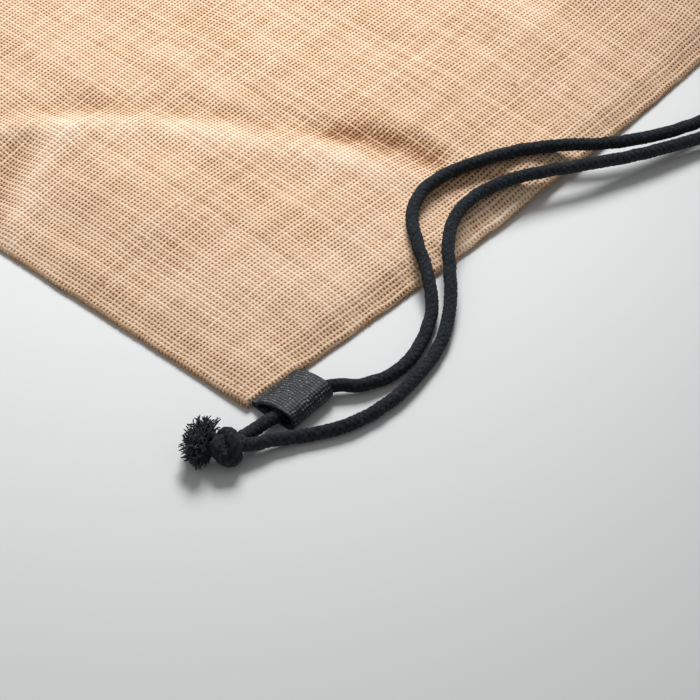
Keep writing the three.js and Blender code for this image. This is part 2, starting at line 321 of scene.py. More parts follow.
# a braided tube along a line, with its ribs in the mesh and both ends closed
def braidedTube(name, line, diameter=cords["diameter"], sides=cords["sides"]):
    first, second = framesAlong(line)
    count = len(line)
    along = lengthsAlong(line)
    share = np.arange(sides) / sides
    yarns, pitch = cords["carriers"], cords["plaitPitch"]
    angle = 2 * np.pi * share[None, :]
    (slow, quick), (lump, drift) = cords["slackWaves"], cords["unevenWaves"]
    reach = along[:, None]
    slack = cords["slack"] * (np.sin(reach / slow + angle) + np.sin(reach / quick - 2 * angle))
    right = yarns * (share[None, :] + reach / pitch) + slack
    left = yarns * (share[None, :] - reach / pitch) - 0.7 * slack
    rib = weaveHeight(right, left)
    uneven = cords["uneven"] * np.sin(reach / lump + 2 * np.sin(reach / drift) + angle)
    radius = diameter / 2 - cords["ribHeight"] * (0.8 - rib) + uneven - cords["shaved"]
    ring = (line[:, None, :] + radius[..., None] * (
        np.cos(angle)[..., None] * first[:, None, :] + np.sin(angle)[..., None] * second[:, None, :]))
    points = [*ring.reshape(-1, 3), line[0], line[-1]]
    uv = np.stack([np.broadcast_to(share, rib.shape), np.broadcast_to(reach, rib.shape)], axis=-1)
    uv = [*uv.reshape(-1, 2), (0, 0), (0, along[-1])]
    faces = []
    for i in range(count - 1):
        a, b = i * sides, (i + 1) * sides
        for j in range(sides):
            k = (j + 1) % sides
            faces.append((a + j, a + k, b + k, b + j))
    start, end = count * sides, count * sides + 1
    last = (count - 1) * sides
    for j in range(sides):
        k = (j + 1) % sides
        faces.append((start, k, j))
        faces.append((end, last + j, last + k))
    piece = meshPiece(name, points, faces, "braid", uv, sharp=math.radians(60))
    rise = piece.data.attributes.new("rib", "FLOAT", "POINT")
    rise.data.foreach_set("value", np.append(rib.ravel(), (0.0, 0.0)).astype(np.float32))
    return piece


def strandLine(name):
    side = name.split("_")[0]
    sign = 1 if side == "right" else -1
    level = "front" if "through" in name else "back"
    out = sign * (casingHalf + cords["gap"])
    y, z = cords["runY"][side], cords["runZ"][level]
    points = [(out, y, z), (out + sign * cords["lead"], y, z)]
    for away, up, under in routes[name]:
        points.append((sign * (bag["width"] / 2 + away * mm), bottomY + up * mm,
                       under * mm + cords["diameter"] / 2))
    return smoothLine(points, cords["ringStep"])


strandLines = {name: strandLine(name) for name in routes}
strands = {name: braidedTube(name + "_braid", line) for name, line in strandLines.items()}
print("cords:", ", ".join(f"{n} {len(line) * cords['ringStep']:.3f} m" for n, line in strandLines.items()))


# Soft folds in the front panel: a line of points [x, y], how wide and how high, in millimetres, and how much
# lighter its cloth is painted: painted light on crests and, below zero, painted shade in hollows, with a
# little of the paler look of a crest's stretched weave. A hollow has a height below zero.
folds = [
    {"line": [(-30, -163), (1, -131), (51, -99), (87, -84), (108, -74), (140, -61)],
     "wide": 9, "high": 1.3, "pale": 1.0},
    {"line": [(-34, -148), (-2, -116), (42, -86), (80, -67), (106, -55), (134, -47)],
     "wide": 9, "high": -1.6, "pale": -0.7},
    {"line": [(90, -61), (110, -48), (124, -42), (134, -43)], "wide": 7, "high": -1.1, "pale": -1.3},
    {"line": [(27, -214), (9, -179), (2, -164), (-4, -142)], "wide": 6, "high": 1.4, "pale": 1.0},
    {"line": [(8, -212), (-9, -180), (-15, -160)], "wide": 7, "high": -1.6, "pale": -0.7},
    {"line": [(146, -66), (151, -50), (156, -38), (166, -31)], "wide": 2.6, "high": -2.4, "pale": -0.9},
    {"line": [(173, -78), (171, -54), (171, -42), (173, -28)], "wide": 3.5, "high": -0.8, "pale": 0.2},
    {"line": [(181, -86), (179, -50), (181, -26)], "wide": 3.5, "high": 0.8, "pale": 1.3},
    {"line": [(118, -168), (152, -128), (160, -96)], "wide": 22, "high": 0.3, "pale": 0.6},
    {"line": [(-150, -190), (-118, -120), (-96, -40), (-104, 30)], "wide": 15, "high": 2.2, "pale": 0.6},
    {"line": [(-60, 30), (-10, 62), (52, 74), (110, 60)], "wide": 14, "high": 2.0, "pale": 0.6},
    {"line": [(-40, 96), (18, 108), (70, 132)], "wide": 11, "high": -2.0, "pale": -0.3},
    {"line": [(-130, 60), (-118, 110), (-126, 160)], "wide": 12, "high": 2.0, "pale": 0.5},
    {"line": [(118, 100), (104, 140), (112, 176)], "wide": 10, "high": 1.8, "pale": 0.5},
]

clothMaking = {
    "foldRadius": {"front": 1.35 * mm, "back": 0.35 * mm},
    "foldSteps": 5,
    "acrossStep": 2.3 * mm,
    "upStep": 2.3 * mm,
    "unevenEdge": 0.35 * mm,
    "edgeLift": 3.6 * mm,  # where the right side edge stands off the table, under the cords
    "liftAt": -15 * mm,
    "liftSpan": 38 * mm,
    "liftFrom": (140 * mm, 45 * mm),  # how far out the lift starts, and over what width it grows
    "backLift": 0.9,  # the back's share of it
    "backGap": 0.15 * mm,
    "cordRoom": 0.3 * mm,
    "cordReach": 12 * mm,
    "underCord": 9 * mm,  # the cloth falls away from a cord's underside in a curve this round
    "propCurve": 14 * mm,  # and where it props the cord up, in this one
    "propTo": 174 * mm,
    "propFade": 9 * mm,
    "edgeRise": (140 * mm, 42 * mm),  # where a side edge starts to rise to the mouth, and over what length
    "edgeRiseWidth": 26 * mm,
    "tabReach": 17 * mm,  # half the length of edge that a tab's tails raise
    "tabFrom": (152 * mm, 16 * mm),
    "calmUnderHem": 25 * mm,
    "waves": [(0.7 * mm, 75 * mm, 3), (0.35 * mm, 27 * mm, 4)],  # height, size and seed of the slow waves
    "foldFade": 6 * mm,  # folds and waves die out this far from a seam
    "waveFade": 16 * mm,
    "edgeWaves": [(21 * mm, 8), (24 * mm, 9)],  # size and seed, along the sides and along the bottom
}


def distanceTo(line, x, y):
    best = np.full(np.shape(x), 1e9)
    for (ax, ay), (bx, by) in zip(line[:-1], line[1:]):
        dx, dy = bx - ax, by - ay
        t = np.clip(((x - ax) * dx + (y - ay) * dy) / (dx * dx + dy * dy), 0, 1)
        best = np.minimum(best, np.hypot(x - ax - t * dx, y - ay - t * dy))
    return best


# slow waves that no two places share, about -1 to 1
def unevenness(x, y, size, seed):
    made = np.zeros(np.broadcast(x, y).shape)
    draw = np.random.default_rng(seed)
    for _ in range(7):
        heading = draw.uniform(0, np.pi)
        phase = draw.uniform(0, 2 * np.pi)
        scale = draw.uniform(0.7, 1.6)
        ahead = x * np.cos(heading) + y * np.sin(heading)
        made = made + np.sin(ahead / (size * scale) * 2 * np.pi + phase)
    return made / 3.5


def edgeLift(x, y):
    start, width = clothMaking["liftFrom"]
    near = smooth((x - start) / width)
    along = np.exp(-((y - clothMaking["liftAt"]) / clothMaking["liftSpan"]) ** 2)
    return clothMaking["edgeLift"] * near * along


def foldRelief(x, y):
    high, pale = np.zeros(np.shape(x)), np.zeros(np.shape(x))
    for fold in folds:
        line = [(a * mm, b * mm) for a, b in fold["line"]]
        bell = np.exp(-(distanceTo(line, x, y) / (fold["wide"] * mm)) ** 2)
        high = high + fold["high"] * mm * bell
        # painted light on a fold's crest, painted shade in a hollow
        pale = pale + fold["pale"] * bell
    return high, pale


# middles of the cords, thinned out
cordsAbove = np.vstack([line[::8] for line in strandLines.values()])


# middle of the front panel's cloth: pressed flat along its seams, risen to the mouth, under the cords that
# cross it and up against those that lie on it
def frontHeight(x, y):
    across = np.clip(np.abs(x) / sideEdge(y), 0, 1)
    fromEdge = np.minimum(sideEdge(y) - np.abs(x), y - bottomY)
    half = bag["ply"] / 2
    crown = (1 - across ** 4) * smooth((y - bottomY) / bag["loftRamp"])
    tabStart, tabWidth = clothMaking["tabFrom"]
    byTab = np.exp(-((y - tabMiddleY) / clothMaking["tabReach"]) ** 4)
    byTab = byTab * smooth((np.abs(x) - tabStart) / tabWidth)
    pressed = 1 - smooth(fromEdge / bag["pressedWidth"])
    seamZ = bag["pressedEdge"] + bag["tabRaise"] * byTab
    lying = bag["sewnUnderside"] + half + bag["loft"] * crown
    lying = lying + (seamZ - lying) * pressed
    rise = smooth((y - mouthY + bag["riseStart"]) / (bag["riseStart"] - bag["casingDepth"]))
    start, length = clothMaking["edgeRise"]
    byEdge = 1 - smooth((sideEdge(y) - np.abs(x)) / clothMaking["edgeRiseWidth"])
    rise = rise + (smooth((y - start) / length) - rise) * byEdge
    high, pale = foldRelief(x, y)
    calm = smooth((casingY - y) / clothMaking["calmUnderHem"])
    waves = sum(height * unevenness(x, y, size, seed) for height, size, seed in clothMaking["waves"])
    relief = high * smooth(fromEdge / clothMaking["foldFade"])
    relief = relief + waves * (0.2 + 0.8 * smooth(fromEdge / clothMaking["waveFade"]))
    z = lying + (bag["mouthUnderside"] + half - lying) * rise + relief * calm + edgeLift(x, y)
    reach = half + clothMaking["cordRoom"] + cords["diameter"] / 2
    ceiling, support = np.full(z.shape, 1.0), np.full(z.shape, -1.0)
    for cx, cy, cz in cordsAbove:
        away2 = (x - cx) ** 2 + (y - cy) ** 2
        near = away2 < clothMaking["cordReach"] ** 2
        if near.any():
            under = cz - reach + away2 / clothMaking["underCord"]
            ceiling = np.where(near, np.minimum(ceiling, under), ceiling)
            if abs(cx) < clothMaking["propTo"] and cy < bag["seamTop"]:
                prop = cz - reach - away2 / clothMaking["propCurve"]
                support = np.where(near, np.maximum(support, prop), support)
    clearOfEdge = smooth((sideEdge(y) - np.abs(x)) / clothMaking["propFade"])
    z = z + (np.maximum(z, support) - z) * clearOfEdge
    return np.minimum(z, ceiling), pale * calm


# a closed sheet of cloth round a grid of its middle points, with the UV map in metres of flat cloth
def clothSheet(name, grid, uv, thickness=bag["ply"], pale=None, relief=None):
    down, over = grid.shape[:2]
    a = np.gradient(grid, axis=0)
    b = np.gradient(grid, axis=1)
    normal = np.cross(a, b)
    normal /= np.maximum(np.linalg.norm(normal, axis=2), 1e-12)[..., None]
    rise = 0 if relief is None else relief[..., None]
    top = grid + normal * (thickness / 2 + rise)
    under = grid - normal * (thickness / 2)
    points = np.vstack([top.reshape(-1, 3), under.reshape(-1, 3)])
    size = down * over
    at = np.arange(size).reshape(down, over)
    cells = np.stack([at[:-1, :-1], at[1:, :-1], at[1:, 1:], at[:-1, 1:]], axis=-1).reshape(-1, 4)
    faces = [tuple(c) for c in cells.tolist()] + [tuple(c[::-1]) for c in (cells + size).tolist()]
    rim = [*at[:, 0], *at[-1, 1:], *at[-2::-1, -1], *at[0, -2:0:-1]]
    for p, q in zip(rim, rim[1:] + rim[:1]):
        faces.append((int(q), int(p), int(p) + size, int(q) + size))
    both = np.vstack([uv.reshape(-1, 2)] * 2)
    piece = meshPiece(name, points, faces, "weave", both)
    tones = {"pale": pale, "rib": None if relief is None else relief / relief.max()}
    for word, values in tones.items():
        if values is not None:
            layer = piece.data.attributes.new(word, "FLOAT", "POINT")
            layer.data.foreach_set("value", np.tile(values.ravel(), 2).astype(np.float32))
    return piece


# one panel as a grid of middle points: columns from the left edge to the right one, rows up to the casing,
# with the sewn edges curled towards the seam
def panelGrid(face):
    curl = clothMaking["foldRadius"][face]
    arc = np.linspace(0, np.pi / 2, clothMaking["foldSteps"] + 1)[:-1]
    flatColumns = 2 * round((bag["width"] / 2) / clothMaking["acrossStep"])
    flatRows = round((casingY - bottomY) / clothMaking["upStep"])
    column = np.concatenate([arc - np.pi / 2, np.zeros(flatColumns + 1), np.pi / 2 - arc[::-1]])
    spread = np.concatenate([-np.ones(len(arc)), np.linspace(-1, 1, flatColumns + 1), np.ones(len(arc))])
    row = np.concatenate([np.pi / 2 - arc, np.zeros(flatRows + 1)])
    climb = np.concatenate([np.zeros(len(arc)), np.linspace(0, 1, flatRows + 1)])
    lowest = bottomY + bag["ply"] / 2 + curl
    y = (lowest + climb * (casingY - lowest) - curl * np.sin(row))[:, None]
    edge = sideEdge(y) - bag["ply"] / 2 - curl
    x = spread[None, :] * edge + curl * np.sin(column)[None, :]
    besides, below = clothMaking["edgeWaves"]
    x = x + clothMaking["unevenEdge"] * unevenness(x, y, *besides) * (np.abs(spread) == 1)[None, :]
    y = y + 0 * x + clothMaking["unevenEdge"] * unevenness(x, y, *below) * (climb == 0)[:, None]
    drop = np.hypot(curl * (1 - np.cos(column))[None, :] + 0 * x, curl * (1 - np.cos(row))[:, None] + 0 * x)
    if face == "front":
        z, pale = frontHeight(x, y)
        z = z - drop
    else:
        pale = np.zeros(x.shape)
        z = bag["ply"] / 2 + clothMaking["backGap"] + edgeLift(x, y) * clothMaking["backLift"] + drop
    u = spread * bag["width"] / 2 + curl * column
    v = climb * (casingY - bottomY) - curl * row
    uv = np.stack(np.broadcast_arrays(u[None, :], v[:, None]), axis=-1)
    grid = np.stack([x, y, z], axis=-1)
    return grid, uv, pale


def buildPanels():
    made = {}
    grid, uv, pale = panelGrid("front")
    middle = grid.shape[1] // 2
    # rows run up and columns run right, so the outer side is up
    for side, part in (("left", slice(0, middle + 1)), ("right", slice(middle, None))):
        points, flat, tone = (a[:, part].transpose(1, 0, *range(2, a.ndim)) for a in (grid, uv, pale))
        name = f"front_panel_{side}_cloth"
        made[name] = clothSheet(name, points, flat, pale=tone)
    grid, uv, pale = panelGrid("back")
    made["back_panel_cloth"] = clothSheet(
        "back_panel_cloth", grid.transpose(1, 0, 2), uv.transpose(1, 0, 2), pale=pale.T)
    return made


cloth = buildPanels()
print("panels:", ", ".join(cloth))


# The casings are hems folded over the two cord runs. Section points are [in from the casing's lower
# edge, up from its underside], in millimetres, from the under ply round the mouth to the upper ply
casing = {
    "section": [
        (0.3, 0.65), (4, 0.65), (9, 0.65), (15, 0.65), (21, 0.65), (24.8, 0.9), (26.9, 2.6), (27.3, 5.0),
        (26.2, 7.6), (23.5, 8.8), (20, 8.9), (16.6, 8.55), (13.2, 8.85), (10.4, 8.3), (8.3, 6.2), (7.2, 3.6),
        (6.0, 2.25), (4, 2.1), (2, 2.0), (0.3, 2.0),
    ],
    "sectionStep": 0.9 * mm,
    "alongStep": 1.8 * mm,
    "pucker": 0.55 * mm,
    "puckerSize": 17 * mm,
    "puckerSeeds": {"front": 21, "back": 22},
    "looseFrom": 7 * mm,  # from the casing's lower edge: the sewn part under this stays flat
    "mouthFrom": 20 * mm,
    "fade": 6 * mm,
    "underPly": 1.4 * mm,
    "setBack": 0.25 * mm,
    "stitchAt": 6 * mm,
}


def casingGrid(level, z):
    flat = [(0.0, casingY + a * mm, b * mm) for a, b in casing["section"]]
    section = smoothLine(flat, casing["sectionStep"])
    half = casingHalf - bag["ply"] / 2
    across = np.linspace(-half, half, 2 * round(half / casing["alongStep"]) + 1)
    x = across[:, None] + 0 * section[None, :, 0]
    y = section[None, :, 1] + 0 * x
    loose = smooth((y - casingY - casing["looseFrom"]) / casing["fade"])
    loose = loose * (section[None, :, 2] > casing["underPly"])
    tuck = casing["pucker"] * unevenness(x, 3 * y, casing["puckerSize"], casing["puckerSeeds"][level])
    height = z + section[None, :, 2] + tuck * loose
    byMouth = smooth((y - casingY - casing["mouthFrom"]) / casing["fade"])
    y = y + 0.8 * tuck * byMouth - casing["setBack"]
    along = np.arange(len(section)) * casing["sectionStep"]
    v = casingY - bottomY + along
    uv = np.stack(np.broadcast_arrays(x, v[None, :]), axis=-1)
    return np.stack([x, y, height], axis=-1), uv


def buildCasings():
    grid, uv = casingGrid("front", frontCasingZ)
    middle = grid.shape[0] // 2
    for side, part in (("left", slice(0, middle + 1)), ("right", slice(middle, None))):
        name = f"front_casing_{side}_cloth"
        cloth[name] = clothSheet(name, grid[part][:, ::-1], uv[part][:, ::-1])
    grid, uv = casingGrid("back", 0.0)
    cloth["back_casing_cloth"] = clothSheet("back_casing_cloth", grid[:, ::-1], uv[:, ::-1])


buildCasings()
print("casings: two folded hems, the front one in two halves")


# the allowances folded inside the seams
allowance = {
    "width": 10 * mm,
    "low": 1.35 * mm,  # middles of its two plies
    "high": 2.0 * mm,
    "ply": 0.5 * mm,
    "inset": 1.5 * mm,
    "rows": 90,
}


# two plies with the fold at the outer side; outer is a line of points, inward a unit vector
def allowanceSheet(name, outer, inward):
    width, low, high = allowance["width"], allowance["low"], allowance["high"]
    under = [(1, 0), (0.8, 0), (0.5, 0), (0.2, 0), (0.08, 0.02)]
    ratio = under + [(0.0, 0.5)] + [(a, 1 - b) for a, b in under[::-1]]
    grid = np.array([[[*(p + inward * width * a), low + (high - low) * b] for a, b in ratio] for p in outer])
    grid[..., 2] += edgeLift(grid[..., 0], grid[..., 1])
    v = lengthsAlong(outer)
    u = np.array([width * a if b < 0.5 else -width * a for a, b in ratio])
    uv = np.stack(np.broadcast_arrays(u[None, :], v[:, None]), axis=-1)
    return clothSheet(name, grid, uv, thickness=allowance["ply"])


def buildAllowances():
    lowest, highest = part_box("right_side_seam_allowance")[0].y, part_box("right_side_seam_allowance")[1].y
    ys = np.linspace(lowest, highest, allowance["rows"])
    for side, sign in (("right", 1), ("left", -1)):
        outer = np.stack([sign * (sideEdge(ys) - allowance["inset"]), ys], axis=1)
        order = slice(None) if sign > 0 else slice(None, None, -1)
        name = f"{side}_side_seam_allowance_fold"
        cloth[name] = allowanceSheet(name, outer[order], np.array([-sign, 0.0]))
    low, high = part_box("bottom_seam_allowance")
    xs = np.linspace(low.x, high.x, allowance["rows"])
    outer = np.stack([xs, np.full(len(xs), bottomY + allowance["inset"])], axis=1)
    name = "bottom_seam_allowance_fold"
    cloth[name] = allowanceSheet(name, outer, np.array([0.0, 1.0]))


buildAllowances()


# tabs: loops of webbing round the through strands
tab = {
    "thickness": 1.2 * mm,
    "tail": 8.6 * mm,
    "seamAt": 9 * mm,  # from the tails' hidden ends
    "seamLevel": (3.05 * mm, 1.65 * mm),  # upper and lower ply inside the seam
    "flatAt": 11.2 * mm,
    "round": 3.95 * mm,
    "roundAt": (16.6 * mm, 4.95 * mm),
    "pitch": (1.5 * mm, 1.35 * mm),  # across the webbing, and along it
    "weave": 0.38 * mm,
    "yarnShape": (0.44, 0.5),  # half a yarn's width as a share of the pitch, and its crimp
    "wander": 0.2,  # how far its yarns stray, as a share of their spacing
    "wanderSize": 7 * mm,
    "wanderSeeds": (33, 34),
    "bulge": 0.42,  # how soon the loop opens after the seam
    "sag": 0.25 * mm,
    "sagSize": 14 * mm,
    "sagSeed": 31,
    "sagFrom": 6 * mm,
    "step": 0.27 * mm,
}


def tabGrid(low, high, seamX):
    (endX, endZ), r, flatAt = tab["roundAt"], tab["round"], tab["flatAt"]
    top, bottom = endZ + r, endZ - r
    upper, lower = tab["seamLevel"]
    t = np.linspace(0, 1, 9)[1:, None]
    turn = np.linspace(np.pi / 2, -np.pi / 2, 13)[:, None]
    over, under = (np.array([tab["bulge"] * flatAt, level]) for level in (top, bottom))
    climb = (1 - t) ** 2 * np.array([0, upper]) + 2 * t * (1 - t) * over + t ** 2 * np.array([flatAt, top])
    fall = (1 - t) ** 2 * np.array([flatAt, bottom]) + 2 * t * (1 - t) * under + t ** 2 * np.array([0, lower])
    path = np.vstack([
        [(-tab["tail"], upper), (0, upper)], climb,
        np.array([endX, endZ]) + r * np.hstack([np.cos(turn), np.sin(turn)]),
        [(flatAt, bottom)], fall, [(-tab["tail"], lower)],
    ])
    path = smoothLine(np.insert(path, 1, 0.0, axis=1), tab["step"])
    y = np.linspace(low, high, round((high - low) / tab["step"]) + 1)
    outward, upward = path[:, None, 0], path[:, None, 2]
    grid = np.stack(np.broadcast_arrays(seamX + outward, y[None, :], upward), axis=-1).copy()
    along = np.arange(len(path)) * tab["step"]
    sag = tab["sag"] * unevenness(grid[..., 0], grid[..., 1], tab["sagSize"], tab["sagSeed"])
    grid[..., 1] += sag * smooth(outward / tab["sagFrom"])
    uv = np.stack(np.broadcast_arrays(y[None, :] - low, along[:, None]), axis=-1)
    return grid, uv


def buildTabs():
    made = {}
    low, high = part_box("right_tab")
    trim = tab["step"]
    grid, uv = tabGrid(low.y + trim, high.y - trim, low.x + tab["seamAt"])
    across, along = uv[..., 0], uv[..., 1]
    size, (seed, otherSeed) = tab["wanderSize"], tab["wanderSeeds"]
    first = across / tab["pitch"][0] + tab["wander"] * unevenness(across, along, size, seed)
    second = along / tab["pitch"][1] + tab["wander"] * unevenness(across, along, size, otherSeed)
    rise = tab["weave"] * weaveHeight(first, second, *tab["yarnShape"])
    for side in ("right", "left"):
        if side == "left":
            grid, uv, rise = grid[::-1] * (-1, 1, 1), uv[::-1], rise[::-1]
        made[side] = clothSheet(f"{side}_tab_webbing", grid, uv, thickness=tab["thickness"], relief=rise)
    print("tabs: two webbing loops")
    return made


tabs = buildTabs()


# knots: both strands of a cord tied in one overhand knot, which is a trefoil drawn tight
knot = {
    "ring": 4.2 * mm,
    "weaving": 1.7 * mm,
    "along": 3.4 * mm,
    "flatter": 0.69,  # its height as a share of its width
    "steps": 260,
    "sides": 32,
    "cord": 6.6 * mm,
    "entryRise": 1.2 * mm,  # how far the two strands aim over and under its middle
    "cutEnd": 5.6 * mm,  # a cord's diameter where it is squeezed
    "cutSides": 28,
    "cutApart": 2.6 * mm,
    "faceAngle": 205.0,  # the way the right-hand cord's ends point
}

fray = {
    "from": 9.0 * mm,  # from the knot's middle to where the yarns part
    "apart": 2.6 * mm,
    "core": 3.4 * mm,
    "openness": 92,  # degrees, how far round the end the yarns stand
    "yarns": 520,
    "length": 6.8 * mm,
    "thickness": 1.0 * mm,
    "bend": 0.4,
    "flatten": 0.8,
    "ground": 0.25 * mm,  # no yarn goes lower
    "rings": 6,
    "around": 14,
    "seeds": {"right": 12, "left": 17},
}


def knotFrame(side):
    low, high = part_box(f"{side}_knot")
    centre = np.array((low + high) / 2)
    turn = math.radians(knot["faceAngle"] if side == "right" else 180 - knot["faceAngle"])
    along = np.array([math.cos(turn), math.sin(turn), 0.0])
    return centre, along, np.cross((0.0, 0.0, 1.0), along)


def joinPieces(name, parts):
    mesh = bpy.data.meshes.new(name)
    work = bmesh.new()
    for part in parts:
        work.from_mesh(part.data)
        bpy.data.objects.remove(part)
    work.to_mesh(mesh)
    work.free()
    return newObject(name, mesh)


def buildKnot(side):
    centre, along, across = knotFrame(side)
    t = np.linspace(0, 2 * np.pi, knot["steps"])[:, None]
    radius = knot["ring"] + knot["weaving"] * np.cos(3 * t)
    sign = 1 if side == "right" else -1
    line = (centre + across * radius * np.cos(2 * t) + sign * along * knot["along"] * np.sin(3 * t)
            + np.array([0, 0, 1.0]) * radius * np.sin(2 * t) * knot["flatter"])
    parts = [braidedTube("lump", line, knot["cord"], sides=knot["sides"])]
    for number, name in enumerate(n for n in strandLines if n.startswith(side)):
        end = strandLines[name][-1]
        before = strandLines[name][-4]
        inside = centre + (0, 0, (2 * number - 1) * knot["entryRise"])
        stub = smoothLine([before, end, end + (end - before), inside], cords["ringStep"])
        parts.append(braidedTube(f"stub{number}", stub))
    # the two cut cords where they leave the knot, before their yarns spread
    for number in (-1, 1):
        start = centre + across * number * knot["cutApart"]
        reach = fray["from"] + 0.5 * fray["core"]
        stub = smoothLine([start, start + along * reach / 2, start + along * reach], cords["ringStep"])
        parts.append(braidedTube(f"cut{number}", stub, knot["cutEnd"], sides=knot["cutSides"]))
    return joinPieces(f"{side}_knot_wraps", parts)


knots = {side: buildKnot(side) for side in ("right", "left")}
print("knots: two")


# what repeats is made by Geometry Nodes: stitches, yarns along an edge and frayed yarns

def newTree(name, inputs):
    tree = bpy.data.node_groups.new(name, "GeometryNodeTree")
    tree.interface.new_socket("Geometry", in_out="INPUT", socket_type="NodeSocketGeometry")
    tree.interface.new_socket("Geometry", in_out="OUTPUT", socket_type="NodeSocketGeometry")
    for word, kind, value in inputs:
        socket = tree.interface.new_socket(word, in_out="INPUT", socket_type=kind)
        if value is not None:
            socket.default_value = value
    return tree, addNode(tree, "NodeGroupInput")


# beads of yarn along a line: stitches, or the yarns that turn over a folded edge
def rowTree():
    number = "NodeSocketFloat"
    tree, given = newTree("yarn_row", [
        ("Spacing", number, 0.004), ("Length", number, 0.003), ("Width", number, 0.001),
        ("Height", number, 0.0008), ("Uneven", number, 0.1), ("Seed", "NodeSocketInt", 1),
        ("Material", "NodeSocketMaterial", None)])
    given = given.outputs
    curve = addNode(tree, "GeometryNodeMeshToCurve", {"Mesh": given["Geometry"]})
    spaced = addNode(tree, "GeometryNodeResampleCurve", {"Curve": curve, "Length": given["Spacing"]},
                     mode="LENGTH")
    bead = addNode(tree, "GeometryNodeMeshUVSphere", {"Segments": 8, "Rings": 6, "Radius": 0.5})
    smoothBead = addNode(tree, "GeometryNodeSetShadeSmooth", {"Geometry": bead})
    tangent = addNode(tree, "GeometryNodeInputTangent")
    facing = addNode(tree, "FunctionNodeAlignRotationToVector", {"Vector": tangent}, axis="X")
    low = calc(tree, "SUBTRACT", 0.0, given["Uneven"])
    shake = addNode(tree, "FunctionNodeRandomValue", {2: low, 3: given["Uneven"], "Seed": given["Seed"]},
                    data_type="FLOAT")
    tilt = addNode(tree, "FunctionNodeAxisAngleToRotation",
                   {"Axis": (0.0, 0.0, 1.0), "Angle": shake.outputs[1]})
    turned = addNode(tree, "FunctionNodeRotateRotation", {"Rotation": facing, "Rotate By": tilt},
                     rotation_space="LOCAL")
    grow = calc(tree, "ADD", shake.outputs[1], 1.0)
    size = addNode(tree, "ShaderNodeCombineXYZ", {0: given["Length"], 1: given["Width"], 2: given["Height"]})
    scale = addNode(tree, "ShaderNodeVectorMath", {0: size, "Scale": grow}, operation="SCALE")
    placed = addNode(tree, "GeometryNodeInstanceOnPoints",
                     {"Points": spaced, "Instance": smoothBead, "Rotation": turned, "Scale": scale})
    real = addNode(tree, "GeometryNodeRealizeInstances", {"Geometry": placed})
    coloured = addNode(tree, "GeometryNodeSetMaterial", {"Geometry": real, "Material": given["Material"]})
    addNode(tree, "NodeGroupOutput", {"Geometry": coloured})
    return tree


# bent yarns that stand out of a cut cord
def brushTree():
    number = "NodeSocketFloat"
    tree, given = newTree("frayed_brush", [
        ("Yarns", number, 1000.0), ("Length", number, 0.01), ("Thickness", number, 0.0005),
        ("Bend", number, 0.3), ("Seed", "NodeSocketInt", 1), ("Material", "NodeSocketMaterial", None)])
    given = given.outputs
    roots = addNode(tree, "GeometryNodeDistributePointsOnFaces",
                    {"Mesh": given["Geometry"], "Density": given["Yarns"], "Seed": given["Seed"]})
    bendPoint = addNode(tree, "ShaderNodeCombineXYZ", {0: given["Bend"], 1: 0.0, 2: 0.55})
    bendEnd = addNode(tree, "ShaderNodeCombineXYZ", {0: 0.0, 1: given["Bend"], 2: 1.0})
    spine = addNode(tree, "GeometryNodeCurveQuadraticBezier",
                    {"Resolution": 5, "Start": (0.0, 0.0, -0.1), "Middle": bendPoint, "End": bendEnd})
    share = addNode(tree, "GeometryNodeSplineParameter")
    taper = addNode(tree, "ShaderNodeMapRange", {"Value": share.outputs["Factor"], 3: 1.0, 4: 0.45})
    slim = calc(tree, "DIVIDE", given["Thickness"], given["Length"])
    half = calc(tree, "MULTIPLY", slim, taper)
    ring = addNode(tree, "GeometryNodeCurvePrimitiveCircle", {"Resolution": 5, "Radius": 0.5})
    yarn = addNode(tree, "GeometryNodeCurveToMesh",
                   {"Curve": spine, "Profile Curve": ring, "Scale": half, "Fill Caps": True})
    spin = addNode(tree, "FunctionNodeRandomValue", {2: 0.0, 3: 2 * math.pi, "Seed": 5}, data_type="FLOAT")
    about = addNode(tree, "FunctionNodeAxisAngleToRotation",
                    {"Axis": (0.0, 0.0, 1.0), "Angle": spin.outputs[1]})
    turned = addNode(tree, "FunctionNodeRotateRotation",
                     {"Rotation": roots.outputs["Rotation"], "Rotate By": about}, rotation_space="LOCAL")
    reach = addNode(tree, "FunctionNodeRandomValue", {2: 0.72, 3: 1.1, "Seed": 9}, data_type="FLOAT")
    long = calc(tree, "MULTIPLY", reach.outputs[1], given["Length"])
    placed = addNode(tree, "GeometryNodeInstanceOnPoints",
                     {"Points": roots, "Instance": yarn, "Rotation": turned, "Scale": long})
    real = addNode(tree, "GeometryNodeRealizeInstances", {"Geometry": placed})
    coloured = addNode(tree, "GeometryNodeSetMaterial", {"Geometry": real, "Material": given["Material"]})
    addNode(tree, "NodeGroupOutput", {"Geometry": coloured})
    return tree


# runs a tree on a bare mesh and returns the result as a plain mesh piece
def grown(name, tree, points, edges, faces, values):
    base = bpy.data.meshes.new(name + "_base")
    base.from_pydata([tuple(p) for p in points], edges, faces)
    carrier = newObject(name + "_carrier", base)
    modifier = carrier.modifiers.new("grow", "NODES")
    modifier.node_group = tree
    for item in tree.interface.items_tree:
        if item.in_out == "INPUT" and item.name in values:
            modifier[item.identifier] = values[item.name]
    bpy.context.view_layer.update()
    evaluated = carrier.evaluated_get(bpy.context.evaluated_depsgraph_get())
    mesh = bpy.data.meshes.new_from_object(evaluated)
    mesh.name = name
    bpy.data.objects.remove(carrier)
    return newObject(name, mesh)


remap, noise = "ShaderNodeMapRange", "ShaderNodeTexNoise"


def newMaterial(name):
    made = bpy.data.materials.new(name)
    made.use_nodes = True
    return made, made.node_tree, made.node_tree.nodes["Principled BSDF"]


# the relief, and the shader's own values
def finishLook(tree, shader, height, relief, strength, values):
    bump = addNode(tree, "ShaderNodeBump", {"Height": height, "Distance": relief, "Strength": strength})
    tree.links.new(bump.outputs[0], shader.inputs["Normal"])
    for name, value in values.items():
        shader.inputs[name].default_value = value


